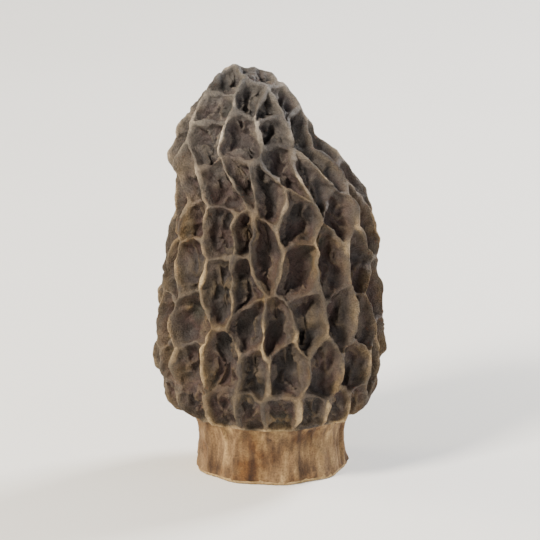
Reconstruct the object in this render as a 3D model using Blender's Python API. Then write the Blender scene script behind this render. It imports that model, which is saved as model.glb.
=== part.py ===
"""A dried black morel: a hollow pitted cap grown in one piece with its short, trimmed stem.

Pits are spread over a flat map of the cap, and a rib stands along the border between every two
neighbouring pits, so that the ribs form one net. The map, with its heights, is then laid over
the cap's smooth outline.
"""

import math
import random

import bmesh
import bpy
import numpy as np
from mathutils import Matrix, Vector, geometry, noise

MM = 0.001

# Sizes are in millimetres. Z is up, the cut end of the stem stands on Z = 0, and -Y is the front.
TIP_HEIGHT = 36.0
STEM_RADIUS = 6.5
CAP_RADIUS = 9.9
MARGIN_HEIGHT = 5.2

# The outline over the tops of the ribs, from the tip down to the cut: radius and height.
OUTLINE = [
    (0.0, TIP_HEIGHT),
    (2.5, 35.0),
    (4.3, 33.1),
    (5.3, 31.2),
    (6.1, 29.4),
    (7.3, 27.6),
    (7.9, 25.6),
    (8.5, 22.5),
    (9.1, 18.5),
    (9.7, 14.0),
    (CAP_RADIUS, 10.6),
    (9.55, 8.0),
    (8.8, 6.3),
    (7.9, 5.5),
    (STEM_RADIUS + 0.5, MARGIN_HEIGHT),
    (STEM_RADIUS - 0.1, 4.1),
    (STEM_RADIUS - 0.2, 2.2),
    (STEM_RADIUS, 0.0),
]

# The hollow, from below the cut up to its closed top: radius and height.
HOLLOW = [
    (5.1, -1.5),
    (5.0, 1.0),
    (4.8, 4.5),
    (5.6, 8.0),
    (6.3, 12.0),
    (6.1, 17.0),
    (5.5, 22.0),
    (4.5, 26.0),
    (2.9, 29.6),
    (1.5, 31.6),
    (0.0, 32.4),
]
HOLLOW_COLUMNS = 24
HOLLOW_ROWS = 12

# Three shallow folds run up the hollow, each by this share of its radius.
FOLDS = 3
FOLD_SHARE = 0.04

# The tip stands to the left of the stem, and drying has left the cap lumpy and a little flat.
LEAN = -2.3
LEAN_FROM = 24.0
LEAN_TO = 30.0
FLATTENED = 0.93

# The lumps are waves round the cap: share of the radius, number, turn, and climb of the wave.
# They fade in from the cut up to the height that follows.
LUMPS = [(0.022, 2, 0.9, 9.0), (0.02, 3, -0.6, -6.0)]
LUMPS_FULL_FROM = 8.0

# The pits. They are smaller, rounder and shallower over the last stretch up to the tip, and they
# run out over a short stretch at the margin.
PIT_WIDTH = 2.9
PIT_HEIGHT = 4.5
PIT_DEPTH = 1.75
PIT_DEPTH_AT_TIP = 1.0
PIT_DEPTH_AT_MARGIN = 0.6
FLOOR_DIP = 0.25
TIP_ZONE = 10.0
MARGIN_ZONE = 4.0

# The ribs: half the width of the top, the width of the slope below it, the most that each takes
# of the way to a pit's middle, and the share by which widths differ along a rib.
RIB_HALF_TOP = 0.25
RIB_SLOPE = 0.42
MOST_TOP = 0.3
MOST_SLOPE = 0.5
UNEVEN_WIDTH = 0.7
UNEVEN_WIDTH_LENGTH = 1.5

# Ribs that run round the cap are lower, by a share of the pits' depth that differs from place to
# place. All crests rise and fall a little.
CROSS_RIB_DROP = 0.47
UNEVEN_DROP = 0.6
UNEVEN_DROP_LENGTH = 4.0
CREST_RISE = 0.24
CREST_RISE_LENGTH = 2.4

# How far the ribs wander and how far their crests tip to a side, and over what lengths. Last the
# short length that a rib is made of, and the gap at which two corners of the net become one.
WANDER = 0.42
WANDER_LENGTH = 3.0
TIP_OVER = 0.3
TIP_OVER_LENGTH = 4.0
RIB_STEP = 0.9
CORNER_GAP = 0.5

# Each unevenness reads the noise from a corner of its own, so that they don't repeat each other.
WIDTH_CORNER = Vector((9.0, 0.0, 0.0))
DROP_CORNER = Vector((7.0, 0.0, 2.0))
TIP_OVER_CORNER = Vector((0.0, 5.0, 0.0))

# The stem below the margin: radius and height of each ring down to the cut, and its furrows.
STEM_RINGS = [
    (STEM_RADIUS + 0.2, 4.9),
    (STEM_RADIUS - 0.2, 3.9),
    (STEM_RADIUS - 0.25, 2.0),
    (STEM_RADIUS, 0.0),
]
RIM_STEP = 0.7
FURROWS = 9
FURROW_DEPTH = 0.16
FURROW_TURN = 1.3

# The middles of the pits that show on the front: right of the stem's axis, and below the tip.
FRONT_PITS = [
    (-3.8, 0.9),
    (-1.2, 0.4),
    (-1.6, 1.9),
    (-4.9, 2.9),
    (-0.1, 2.9),
    (1.5, 3.1),
    (-5.4, 5.0),
    (-2.7, 5.0),
    (0.5, 4.7),
    (2.6, 5.0),
    (-8.4, 6.9),
    (-4.4, 8.9),
    (-2.6, 8.2),
    (-0.5, 9.4),
    (-7.4, 9.4),
    (1.3, 7.1),
    (4.0, 8.8),
    (5.0, 7.3),
    (6.3, 12.0),
    (2.2, 12.0),
    (-1.0, 14.2),
    (-2.7, 13.4),
    (-4.1, 13.2),
    (-6.9, 12.6),
    (-7.1, 16.0),
    (-4.2, 16.9),
    (-2.75, 16.6),
    (2.6, 15.9),
    (7.7, 15.9),
    (5.4, 15.6),
    (7.9, 12.3),
    (6.9, 9.6),
]

# The other pits stand in rings. Where the cap is wide, every ring has the same number of them.
WIDE_RADIUS = 8.3
PITS_IN_WIDE_RING = 20
PITS_IN_SMALL_RING = 4
RING_GAP_AT_TIP = 0.42
RING_GAP_RADIUS = 16.0
RING_TWIST = 0.25
RING_TWIST_LENGTH = 5.0
JITTER_ROUND = 0.2
JITTER_UP = 0.28
CLOSEST_PITS = 0.7
MARGIN_TO_LOWEST_RING = 0.55
SEED = 11

# The ribs' wander reads noise whose field is chosen by this number.
NOISE_SEED = 5

# Points that are closer than this are the same point.
TOUCHING = 1e-7

# Dark grey brown, as linear red, green, blue and alpha.
FLESH_COLOUR = (0.115, 0.082, 0.058, 1.0)


def curve_through(points, steps=24):
    """A smooth curve (Catmull-Rom) through the points, with the length run along it."""
    knots = np.array([points[0], *points, points[-1]], float)
    if points[0][0] == 0.0:
        knots[0] = (-points[1][0], points[1][1])
    if points[-1][0] == 0.0:
        knots[-1] = (-points[-2][0], points[-2][1])
    path = []
    for p0, p1, p2, p3 in zip(knots, knots[1:], knots[2:], knots[3:]):
        for t in np.linspace(0.0, 1.0, steps, endpoint=False):
            bend = (2 * p0 - 5 * p1 + 4 * p2 - p3) * t**2 + (3 * p1 - p0 - 3 * p2 + p3) * t**3
            path.append(0.5 * (2 * p1 + (p2 - p0) * t + bend))
    path.append(knots[-2])
    path = np.array(path)
    along = np.concatenate([[0.0], np.cumsum(np.linalg.norm(np.diff(path, axis=0), axis=1))])
    return path, along


PATH, ALONG = curve_through(OUTLINE)
MARGIN = float(np.interp(-MARGIN_HEIGHT, -PATH[:, 1], ALONG))


def stretch_at(along):
    """Pits are round at the tip and taller than wide below it: width over height."""
    t = np.clip(along / TIP_ZONE, 0.0, 1.0)
    return 1.0 + (PIT_WIDTH / PIT_HEIGHT - 1.0) * t * t * (3 - 2 * t)


def flat_radius_table():
    """How far from its middle each ring of the cap lies on the flat map where pits are round."""
    radius = np.maximum(PATH[:, 0], 1e-3)
    rate = stretch_at(ALONG) / radius
    growth = np.concatenate([[0.0], np.cumsum(np.diff(ALONG) * (rate[1:] + rate[:-1]) / 2)])
    start = 6
    return ALONG[start] * np.exp(growth - growth[start])


FLAT = flat_radius_table()


def to_flat(azimuth, along):
    """From the cap's outline to the flat map. Azimuth 0 is the front, and it grows to the right."""
    flat = np.interp(along, ALONG, FLAT)
    return np.stack([flat * np.sin(azimuth), -flat * np.cos(azimuth)], axis=-1)


def from_flat(spot):
    """From the flat map back to an azimuth and a distance below the tip along the outline."""
    azimuth = math.atan2(spot[0], -spot[1])
    return azimuth, float(np.interp(math.hypot(spot[0], spot[1]), FLAT, ALONG))


def outline_at(azimuth, along):
    """The place on the turned outline and the direction out of it there."""
    radius, height = (float(np.interp(along, ALONG, PATH[:, i])) for i in (0, 1))
    step = 0.05
    run, fall = (
        float(np.interp(along + step, ALONG, PATH[:, i]) - np.interp(along - step, ALONG, PATH[:, i]))
        for i in (0, 1)
    )
    size = math.hypot(run, fall)
    sin, cos = math.sin(azimuth), math.cos(azimuth)
    out = Vector((-fall * sin, fall * cos, run)) / size
    return Vector((radius * sin, -radius * cos, height)), out


def lean_at(height):
    """How far the axis stands to the side at a height."""
    t = min(1.0, max(0.0, (height - LEAN_FROM) / (LEAN_TO - LEAN_FROM)))
    return LEAN * t * t * (3 - 2 * t)


def shrivelled(place):
    """Bends a place on the true turned form into the leaning, lumpy form that drying leaves."""
    azimuth = math.atan2(place.x, -place.y)
    lump = sum(
        share * math.cos(waves * azimuth + turn + place.z / climb)
        for share, waves, turn, climb in LUMPS
    )
    swell = 1.0 + lump * min(1.0, max(0.0, place.z / LUMPS_FULL_FROM))
    return Vector((place.x * swell + lean_at(place.z), place.y * swell * FLATTENED, place.z))


def pit_depth(along):
    """How deep the pits are at a distance below the tip along the outline."""
    stretches = (0.0, TIP_ZONE, MARGIN - MARGIN_ZONE, MARGIN)
    depths = (PIT_DEPTH_AT_TIP, PIT_DEPTH, PIT_DEPTH, PIT_DEPTH_AT_MARGIN)
    return float(np.interp(along, stretches, depths))


def pits_on_front():
    """The pits seen on the front, as azimuths and distances below the tip along the outline."""
    for right, below in FRONT_PITS:
        along = float(np.interp(below, TIP_HEIGHT - PATH[:, 1], ALONG))
        radius = float(np.interp(along, ALONG, PATH[:, 0]))
        turn = (right - lean_at(TIP_HEIGHT - below)) / radius
        yield math.asin(max(-0.99, min(0.99, turn))), along


def spread_pits():
    """Every pit's middle on the flat map: those seen on the front, then rings over the rest.

    The guards lie under the cap's margin, and only close the borders of the lowest pits.
    """
    pits = [to_flat(azimuth, along) for azimuth, along in pits_on_front()]
    guards = []
    draw = random.Random(SEED)
    lowest = MARGIN - MARGIN_TO_LOWEST_RING * PIT_HEIGHT
    ring = lowest
    while ring > PIT_DEPTH:
        radius = float(np.interp(ring, ALONG, PATH[:, 0]))
        count = max(PITS_IN_SMALL_RING, round(2 * math.pi * radius / PIT_WIDTH))
        if radius > WIDE_RADIUS:
            count = PITS_IN_WIDE_RING
        turn = 2 * math.pi / count
        spacing = turn * float(np.interp(ring, ALONG, FLAT))
        twist = RING_TWIST * math.sin(ring / RING_TWIST_LENGTH)
        for i in range(count):
            azimuth = (i + draw.uniform(-JITTER_ROUND, JITTER_ROUND)) * turn + twist
            up = draw.uniform(-JITTER_UP, JITTER_UP) * PIT_HEIGHT
            spot = to_flat(azimuth, ring if ring == lowest else ring + up)
            if min(np.linalg.norm(spot - p) for p in pits) > CLOSEST_PITS * spacing:
                pits.append(spot)
                if ring == lowest:
                    below = MARGIN + (1.0 - MARGIN_TO_LOWEST_RING) * PIT_HEIGHT
                    guards.append(to_flat(azimuth, below))
        ring -= PIT_HEIGHT * min(1.0, RING_GAP_AT_TIP + radius / RING_GAP_RADIUS)
    return pits, guards


def circle_middle(a, b, c):
    """The middle of the circle through three points of the flat map."""
    b, c = b - a, c - a
    twice = 2 * (b[0] * c[1] - b[1] * c[0])
    bb, cc = b.dot(b), c.dot(c)
    return a + np.array([c[1] * bb - b[1] * cc, b[0] * cc - c[0] * bb]) / twice


def rib_net():
    """The net of ribs on the flat map: its corners, and each pit's ring of corners."""
    pits, guards = spread_pits()
    spots = [Vector(p) for p in pits + guards]
    _, _, triangles, origin, _, _ = geometry.delaunay_2d_cdt(spots, [], [], 0, TOUCHING)
    made_from = [o[0] for o in origin]
    corners, rings = [], [[] for _ in pits]
    for triangle in triangles:
        trio = [made_from[i] for i in triangle]
        corners.append(circle_middle(*(np.array(spots[i]) for i in trio)))
        for i in trio:
            if i < len(pits):
                rings[i].append(len(corners) - 1)
    for pit, ring in zip(pits, rings):
        turns = {c: math.atan2(corners[c][1] - pit[1], corners[c][0] - pit[0]) for c in ring}
        ring.sort(key=turns.get)
    return corners, rings


def on_cap(spot):
    """The place on the cap's outline, with the ribs' wander, for a spot of the flat map."""
    azimuth, along = from_flat(spot)
    place, out = outline_at(azimuth, along)
    shift = WANDER * noise.noise_vector(place / WANDER_LENGTH)
    shift *= min(1.0, along / TIP_ZONE) * min(1.0, max(0.0, (MARGIN - along) / PIT_HEIGHT))
    return place + shift - out * shift.dot(out), out


def cut_short(bm, rib):
    """Cuts a rib of the net into short, equal lengths, so that it can bend."""
    start, end = rib.verts
    length = (on_cap(start.co)[0] - on_cap(end.co)[0]).length
    step = RIM_STEP if rib.is_boundary else RIB_STEP
    for left in range(round(length / step), 1, -1):
        _, start = bmesh.utils.edge_split(rib, start, 1.0 / left)
        rib = bm.edges.get((start, end))


def join_close_corners(bm):
    """Corners of the net that nearly touch on the cap become one."""
    flat = {v: v.co.copy() for v in bm.verts}
    for v in bm.verts:
        v.co = on_cap(v.co)[0]
    bmesh.ops.remove_doubles(bm, verts=bm.verts[:], dist=CORNER_GAP)
    for v in bm.verts:
        v.co = flat[v]


def lay_net(bm):
    """One face of the flat map for each pit, ringed by the ribs in short lengths."""
    corners, rings = rib_net()
    used = sorted({c for ring in rings for c in ring})
    at_corner = {c: bm.verts.new((*corners[c], 0.0)) for c in used}
    for ring in rings:
        bm.faces.new([at_corner[c] for c in ring])
    join_close_corners(bm)
    for rib in list(bm.edges):
        cut_short(bm, rib)
    return bm.faces[:]


def shape_crests(bm):
    """Lowers the ribs that run round the cap, and lets every crest rise and fall a little."""
    for v in bm.verts:
        place, out = on_cap(v.co)
        joined = [e.other_vert(v) for e in v.link_edges if not e.is_boundary]
        if len(joined) > 1:
            across = Vector((-out.y, out.x, 0.0)).normalized()
            down = out.cross(across)
            runs = [(on_cap(other.co)[0] - place).normalized() for other in joined]
            level = 1.0 - max(abs(run.dot(down)) for run in runs) ** 2
            uneven = noise.noise(place / UNEVEN_DROP_LENGTH + DROP_CORNER)
            drop = (CROSS_RIB_DROP + UNEVEN_DROP * uneven) * level * pit_depth(from_flat(v.co)[1])
            v.co.z = CREST_RISE * noise.noise(place / CREST_RISE_LENGTH) - drop


def sink_pits(bm, pits):
    """Leaves half of a rib's top round each pit, and sinks the rest between sloping walls."""
    for reach, most, sink in ((RIB_HALF_TOP, MOST_TOP, 0.0), (RIB_SLOPE, MOST_SLOPE, 1.0)):
        bmesh.ops.inset_individual(bm, faces=pits, thickness=0.0)
        for face in pits:
            middle = face.calc_center_median()
            for v in face.verts:
                place = on_cap(v.co)[0]
                uneven = noise.noise(place / UNEVEN_WIDTH_LENGTH + WIDTH_CORNER)
                distance = (on_cap(middle)[0] - place).length
                share = min(most, reach * (1.0 + UNEVEN_WIDTH * uneven) / distance)
                inward = (middle - v.co) * share
                height = v.co.z * (1.0 - sink) - sink * pit_depth(from_flat(v.co)[1])
                v.co = Vector((v.co.x + inward.x, v.co.y + inward.y, height))
    bmesh.ops.poke(bm, faces=pits, offset=-FLOOR_DIP)


def lay_over_cap(bm):
    """Lays the flat map over the cap's outline: a height of the map is a height over the outline."""
    for v in bm.verts:
        place, out = on_cap(v.co)
        tip_over = TIP_OVER * noise.noise_vector(place / TIP_OVER_LENGTH + TIP_OVER_CORNER)
        tip_over *= max(0.0, 1.0 + v.co.z / PIT_DEPTH)
        tip_over *= min(1.0, max(0.0, (MARGIN - from_flat(v.co)[1]) / MARGIN_ZONE))
        v.co = place + out * v.co.z + tip_over - out * tip_over.dot(out)


def grow_stem(bm):
    """Draws the cap's margin in and down to the cut, ring by ring, and closes the cut flat."""
    for radius, height in STEM_RINGS:
        rim = [e for e in bm.edges if e.is_boundary]
        grown = bmesh.ops.extrude_edge_only(bm, edges=rim)["geom"]
        for v in (g for g in grown if isinstance(g, bmesh.types.BMVert)):
            azimuth = math.atan2(v.co.x, -v.co.y)
            furrowed = radius - FURROW_DEPTH * math.cos(FURROWS * azimuth + FURROW_TURN)
            v.co = Vector((furrowed * math.sin(azimuth), -furrowed * math.cos(azimuth), height))
    rim = [e for e in bm.edges if e.is_boundary]
    bmesh.ops.holes_fill(bm, edges=rim, sides=0)


def morel_outside(bm):
    """The closed outside of the morel."""
    pits = lay_net(bm)
    shape_crests(bm)
    sink_pits(bm, pits)
    lay_over_cap(bm)
    grow_stem(bm)
    for v in bm.verts:
        v.co = shrivelled(v.co) * MM
    bmesh.ops.triangulate(bm, faces=[f for f in bm.faces if len(f.verts) == 4])
    bmesh.ops.recalc_face_normals(bm, faces=bm.faces[:])


def hollow_inside(bm):
    """The closed body of the hollow, a little folded, that is cut out of the morel."""
    path, along = curve_through(HOLLOW)
    bmesh.ops.create_grid(bm, x_segments=HOLLOW_COLUMNS, y_segments=HOLLOW_ROWS, size=1.0)
    for v in bm.verts:
        here = (v.co.y + 1) / 2 * along[-1]
        azimuth = (v.co.x + 1) * math.pi
        fold = 1 + FOLD_SHARE * math.cos(FOLDS * azimuth)
        radius, height = (float(np.interp(here, along, path[:, i])) for i in (0, 1))
        place = Vector((radius * fold * math.sin(azimuth), -radius * fold * math.cos(azimuth), height))
        v.co = shrivelled(place) * MM
    bmesh.ops.remove_doubles(bm, verts=bm.verts[:], dist=TOUCHING)
    bmesh.ops.holes_fill(bm, edges=[e for e in bm.edges if e.is_boundary], sides=0)
    bmesh.ops.recalc_face_normals(bm, faces=bm.faces[:])


def add_object(name, build):
    """A new object whose mesh is made by the build function."""
    mesh = bpy.data.meshes.new(name)
    bm = bmesh.new()
    build(bm)
    bm.to_mesh(mesh)
    bm.free()
    obj = bpy.data.objects.new(name, mesh)
    bpy.context.scene.collection.objects.link(obj)
    return obj


def flesh_material():
    """Dried fungus flesh: dark grey brown and matte."""
    material = bpy.data.materials.new("dried_morel_flesh")
    material.use_nodes = True
    shader = material.node_tree.nodes["Principled BSDF"]
    shader.inputs["Base Color"].default_value = FLESH_COLOUR
    shader.inputs["Roughness"].default_value = 0.8
    shader.inputs["Metallic"].default_value = 0.0
    return material


def main():
    """Builds the morel in an empty scene, centred over its cut end, and cuts the hollow out of it."""
    for obj in list(bpy.data.objects):
        bpy.data.objects.remove(obj)
    noise.seed_set(NOISE_SEED)
    morel = add_object("morel", morel_outside)
    morel.data.materials.append(flesh_material())
    hollow = add_object("hollow_cutter", hollow_inside)
    corners = np.array([v.co for v in morel.data.vertices])
    across = (corners.min(axis=0) + corners.max(axis=0)) / 2
    for obj in (morel, hollow):
        obj.data.transform(Matrix.Translation((-across[0], -across[1], 0.0)))
    hollow.hide_render = True
    hollow.display_type = "WIRE"
    cut = morel.modifiers.new("hollow", "BOOLEAN")
    cut.object = hollow
    cut.operation = "DIFFERENCE"
    cut.solver = "EXACT"


main()
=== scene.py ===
"""Dresses a dried black morel: its net of wavy ribs over deep, crumpled pits, its furrowed stem
with the cut end and the hollow, and the stage and the light that show it.

Sizes inside the shape code are in millimetres. A mesh is turned to metres when it is finished.
"""

import math
import random

import bmesh
import bpy
import numpy as np
from bpy.props import FloatProperty, FloatVectorProperty, PointerProperty
from mathutils import Matrix, Vector, geometry, noise


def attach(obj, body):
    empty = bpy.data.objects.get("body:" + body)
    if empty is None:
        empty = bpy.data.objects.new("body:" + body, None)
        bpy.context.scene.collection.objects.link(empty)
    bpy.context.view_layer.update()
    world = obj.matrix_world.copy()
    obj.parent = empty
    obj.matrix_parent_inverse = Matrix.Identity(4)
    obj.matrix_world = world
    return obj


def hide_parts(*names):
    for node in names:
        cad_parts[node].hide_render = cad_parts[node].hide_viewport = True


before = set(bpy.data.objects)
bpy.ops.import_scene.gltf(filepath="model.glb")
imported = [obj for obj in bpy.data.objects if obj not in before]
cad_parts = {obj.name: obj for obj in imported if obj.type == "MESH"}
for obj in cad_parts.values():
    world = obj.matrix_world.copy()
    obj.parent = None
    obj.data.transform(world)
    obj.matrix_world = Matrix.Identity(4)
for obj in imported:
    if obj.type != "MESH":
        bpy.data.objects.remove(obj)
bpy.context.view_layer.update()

bl_info = {
    "name": "Dried Black Morel",
    "version": (1, 0, 0),
    "blender": (4, 5, 0),
    "location": "3D View > Sidebar > Morel",
    "description": "Grows a dried black morel and sets its stage",
    "category": "Add Mesh",
}

MM = 0.001

# The same form as the solid: the outline over the rib tops, and the hollow. Radius and height.
TIP_HEIGHT = 36.0
STEM_RADIUS = 6.5
CAP_RADIUS = 9.9
MARGIN_HEIGHT = 5.2
OUTLINE = [
    (0.0, TIP_HEIGHT),
    (2.5, 35.0),
    (4.3, 33.1),
    (5.3, 31.2),
    (6.1, 29.4),
    (7.3, 27.6),
    (7.9, 25.6),
    (8.5, 22.5),
    (9.1, 18.5),
    (9.7, 14.0),
    (CAP_RADIUS, 10.6),
    (9.55, 8.0),
    (8.8, 6.3),
    (7.9, 5.5),
    (STEM_RADIUS + 0.5, MARGIN_HEIGHT),
    (STEM_RADIUS - 0.1, 4.1),
    (STEM_RADIUS - 0.2, 2.2),
    (STEM_RADIUS, 0.0),
]
HOLLOW = [
    (5.1, -1.5),
    (5.0, 1.0),
    (4.8, 4.5),
    (5.6, 8.0),
    (6.3, 12.0),
    (6.1, 17.0),
    (5.5, 22.0),
    (4.5, 26.0),
    (2.9, 29.6),
    (1.5, 31.6),
    (0.0, 32.4),
]

# Three shallow folds run up the hollow, each by this share of its radius.
FOLDS = 3
FOLD_SHARE = 0.04

# The tip stands to the left of the stem, and drying has left the cap lumpy and a little flat.
# A lump is a share of the radius, a number of waves, their turn and their climb. The lumps fade
# in from the cut up to the height that follows.
LEAN = -2.3
LEAN_FROM = 24.0
LEAN_TO = 30.0
FLATTENED = 0.93
LUMPS = [(0.022, 2, 0.9, 9.0), (0.02, 3, -0.6, -6.0)]
LUMPS_FULL_FROM = 8.0

# Where the solid has the stem's axis. It is centred by its bounding box.
STEM_AXIS = (0.109, -0.156)

# The pits, their ribs and how both are spread, as in the solid. The pits are smaller, rounder and
# shallower over the last stretch up to the tip, and they run out over a short one at the margin.
PIT_WIDTH = 2.9
PIT_HEIGHT = 4.5
PIT_DEPTH = 1.75
PIT_DEPTH_AT_TIP = 1.0
PIT_DEPTH_AT_MARGIN = 0.6
TIP_ZONE = 10.0
MARGIN_ZONE = 4.0

# Ribs that run round the cap are lower, by a share of the pits' depth. All crests rise and fall a
# little, wander, and tip to a side. Corners of the net that are closer than the gap become one.
CROSS_RIB_DROP = 0.47
UNEVEN_DROP = 0.6
UNEVEN_DROP_LENGTH = 4.0
CREST_RISE = 0.24
CREST_RISE_LENGTH = 2.4
WANDER = 0.42
WANDER_LENGTH = 3.0
TIP_OVER = 0.3
TIP_OVER_LENGTH = 4.0
CORNER_GAP = 0.5

# Each unevenness reads the noise from a corner of its own, so that they don't repeat each other.
WIDTH_CORNER = Vector((9.0, 0.0, 0.0))
DROP_CORNER = Vector((7.0, 0.0, 2.0))
TIP_OVER_CORNER = Vector((0.0, 5.0, 0.0))

# The middles of the pits that show on the front: right of the stem's axis, and below the tip.
FRONT_PITS = [
    (-3.8, 0.9),
    (-1.2, 0.4),
    (-1.6, 1.9),
    (-4.9, 2.9),
    (-0.1, 2.9),
    (1.5, 3.1),
    (-5.4, 5.0),
    (-2.7, 5.0),
    (0.5, 4.7),
    (2.6, 5.0),
    (-8.4, 6.9),
    (-4.4, 8.9),
    (-2.6, 8.2),
    (-0.5, 9.4),
    (-7.4, 9.4),
    (1.3, 7.1),
    (4.0, 8.8),
    (5.0, 7.3),
    (6.3, 12.0),
    (2.2, 12.0),
    (-1.0, 14.2),
    (-2.7, 13.4),
    (-4.1, 13.2),
    (-6.9, 12.6),
    (-7.1, 16.0),
    (-4.2, 16.9),
    (-2.75, 16.6),
    (2.6, 15.9),
    (7.7, 15.9),
    (5.4, 15.6),
    (7.9, 12.3),
    (6.9, 9.6),
]

# The other pits stand in rings. Where the cap is wide, every ring has the same number of them.
WIDE_RADIUS = 8.3
PITS_IN_WIDE_RING = 20
PITS_IN_SMALL_RING = 4
RING_GAP_AT_TIP = 0.42
RING_GAP_RADIUS = 16.0
RING_TWIST = 0.25
RING_TWIST_LENGTH = 5.0
JITTER_ROUND = 0.2
JITTER_UP = 0.28
CLOSEST_PITS = 0.7
MARGIN_TO_LOWEST_RING = 0.55

# The draws of the rings and the noise's field, both as in the solid. Points of the net that are
# closer than the last number are the same point.
SEED = 11
NOISE_SEED = 5
TOUCHING = 1e-7

# A rib from its crest down into the pit: how far in from the crest, the most of the way to the
# pit's middle, and how far below the crest. The crest is a narrow cord on a steep wall, which
# runs out on to the floor. A rib is made of short lengths, and its crest is lifted a little.
RIB_PROFILE = [
    (0.07, 0.12, -0.02),
    (0.14, 0.22, -0.16),
    (0.18, 0.28, -0.50),
    (0.26, 0.38, -1.00),
    (0.46, 0.52, -1.52),
    (0.85, 0.72, -1.84),
    (1.30, 0.88, -1.98),
]
RIB_STEP = 0.36
CREST_LIFT = 0.12

# A ring lies at least this share of the way to the pit's middle, and this much past the ring
# before it. The way is tried out in so many steps.
FIRST_SHARE = 0.02
NEXT_SHARE = 0.015
SHARE_STEPS = 41

# How the ribs' widths differ, by two noises of these lengths, and the narrowest and the mean
# share of the profile's widths. The floors of the pits keep their place from this ring on.
UNEVEN_WIDTH = 1.0
UNEVEN_WIDTH_LENGTH = 1.5
WIDE_RIB_LENGTH = 4.5
NARROWEST = 0.5
MEAN_WIDTH = 1.1
RINGS_THAT_WIDEN = 5

# How the pits' depths differ from pit to pit, and the deepest, as a share of the profile's.
UNEVEN_DEPTH = 0.16
UNEVEN_DEPTH_LENGTH = 2.0
DEEPEST = 1.03

# Down to what height under the crest a rib's side keeps the crest's own rise and its painted
# shade.
RISE_FADES_AT = 1.6
CREST_SHADE_FADES_AT = 0.8

# What drying has done to the crests: they are nibbled and split by short grooves, by a height and
# over a length each, and their tops are frilled to the sides.
NIBBLES = [(0.20, 1.3), (0.12, 0.7)]
GROOVE = 0.16
GROOVE_LENGTH = 2.2
GROOVE_SHARPNESS = 4.0
GROOVE_CORNER = Vector((3.0, 3.0, 3.0))
FRILL = 0.34
FRILL_LENGTH = 1.3
FINE_FRILL = 0.13
FINE_FRILL_LENGTH = 0.6

# How much deeper in the pit a rib that runs round the cap looks: painted shade that makes it
# darker.
CROSS_RIB_SHADE = 0.22
UNEVEN_CROSS_RIB_SHADE = 0.3
CROSS_RIB_SHADE_LENGTH = 2.5

# How often a rib's drop is smoothed along the net, and how much of the drop and of the nibbles
# the crest's colour follows.
# The crest's colour from the drop is painted shade: lower crests darker, raised nibbles lighter.
SMOOTHINGS = 3
DROP_LOOKS_DEEP = 0.75
NIBBLE_LOOKS_DEEP = 0.5

# The skin's relief: a noise is a height and a length. Folds run up the pits' floors.
BEADS = [(0.07, 0.45), (0.08, 1.1)]
CRUMPLES = [(0.15, 1.1), (0.08, 0.55)]
CREST_REACH = 0.55
FLOOR_FROM = 0.9
FLOOR_FADE = 0.6
FOLD_WIDTH = 1.3
FOLD_LENGTH = 3.6
FOLD_BEND = 0.5
FOLD_BEND_LENGTH = 1.6
FOLD_SHARPNESS = 1.9
FOLD_HEIGHT = 0.7
FLOOR_SUNK = 0.25
SIDE_FOLD_HEIGHT = 0.12
SIDE_RISE = 0.10
SIDE_RISE_LENGTH = 0.95
SIDE_SUNK = 0.12

# How much less deep a fold looks, as painted light, and the depth that no fold looks less than.
FOLD_SHADE_LIFT = 1.6
FOLD_LOOKS_DEEP = 0.5

# The stem from the margin to the cut, the cut, and the hollow: radius and height of each ring.
FURROWS = 9
FURROW_DEPTH = 0.16
FURROW_TURN = 1.3
STEM_PROFILE = [
    (STEM_RADIUS + 0.2, 4.9),
    (STEM_RADIUS - 0.05, 4.4),
    (STEM_RADIUS - 0.2, 3.9),
    (STEM_RADIUS - 0.26, 3.3),
    (STEM_RADIUS - 0.28, 2.7),
    (STEM_RADIUS - 0.25, 2.0),
    (STEM_RADIUS - 0.16, 1.3),
    (STEM_RADIUS - 0.06, 0.7),
    (STEM_RADIUS, 0.25),
]
CUT_PROFILE = [
    (STEM_RADIUS - 0.05, 0.06),
    (STEM_RADIUS - 0.25, 0.0),
    (STEM_RADIUS - 0.6, 0.0),
    (STEM_RADIUS - 0.95, 0.0),
    (5.22, 0.0),
    (5.1, 0.08),
]
HOLLOW_FROM = 0.35
HOLLOW_TOP_GAP = 0.3
HOLLOW_STEP = 2.2

# The relief of the stem's strands and of the lining. The fine grain is for the stem's material
# slot and for the flesh's: a height and a length.
STEM = 1
FLESH = 2
STRAND_WIDTH = 1.3
STRAND_LENGTH = 8.0
STRAND_BEND = 0.35
STRAND_BEND_LENGTH = 2.4
STRAND_HEIGHT = 0.26
STRAND_SUNK = 0.1
THREAD_HEIGHT = 0.09
THREADS_PER_STRAND = 3.1
STRANDS_FULL_FROM = 0.6
STRANDS_FADE = 0.8
LINING_WIDTH = 2.3
LINING_LENGTH = 9.0
LINING_DEPTH = 0.3
LINING_FULL_FROM = 1.5
LINING_RISE = 0.05
LINING_RISE_LENGTH = 0.5
FINE_GRAIN = {STEM: (0.04, 0.4), FLESH: (0.03, 0.25)}

# What lies on the stem and inside looks this deep, in millimetres under the crests.
DEPTH_OFF_CAP = 0.6

# The finished mesh has no more triangles than this.
MOST_TRIANGLES = 190000

# The stage, in metres: what the lights and the camera face, half the floor's width, and each
# light's name, place, size, watts and colour. The lens is in millimetres.
STAGE_MIDDLE = Vector((0.0, 0.0, 0.0175))
HALF_FLOOR = 2.0
LIGHTS = [
    ("key", (-0.20, -0.20, 0.26), 0.08, 2.7, "#FFF6E8"),
    ("fill", (0.24, -0.16, 0.10), 0.20, 0.35, "#F2F6FF"),
    ("rim", (0.18, 0.14, 0.18), 0.08, 1.4, "#FFFFFF"),
    ("rim_left", (-0.24, 0.06, 0.06), 0.10, 0.7, "#FFEFC8"),
]
WORLD_STRENGTH = 0.38
LENS = 620.0


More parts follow.
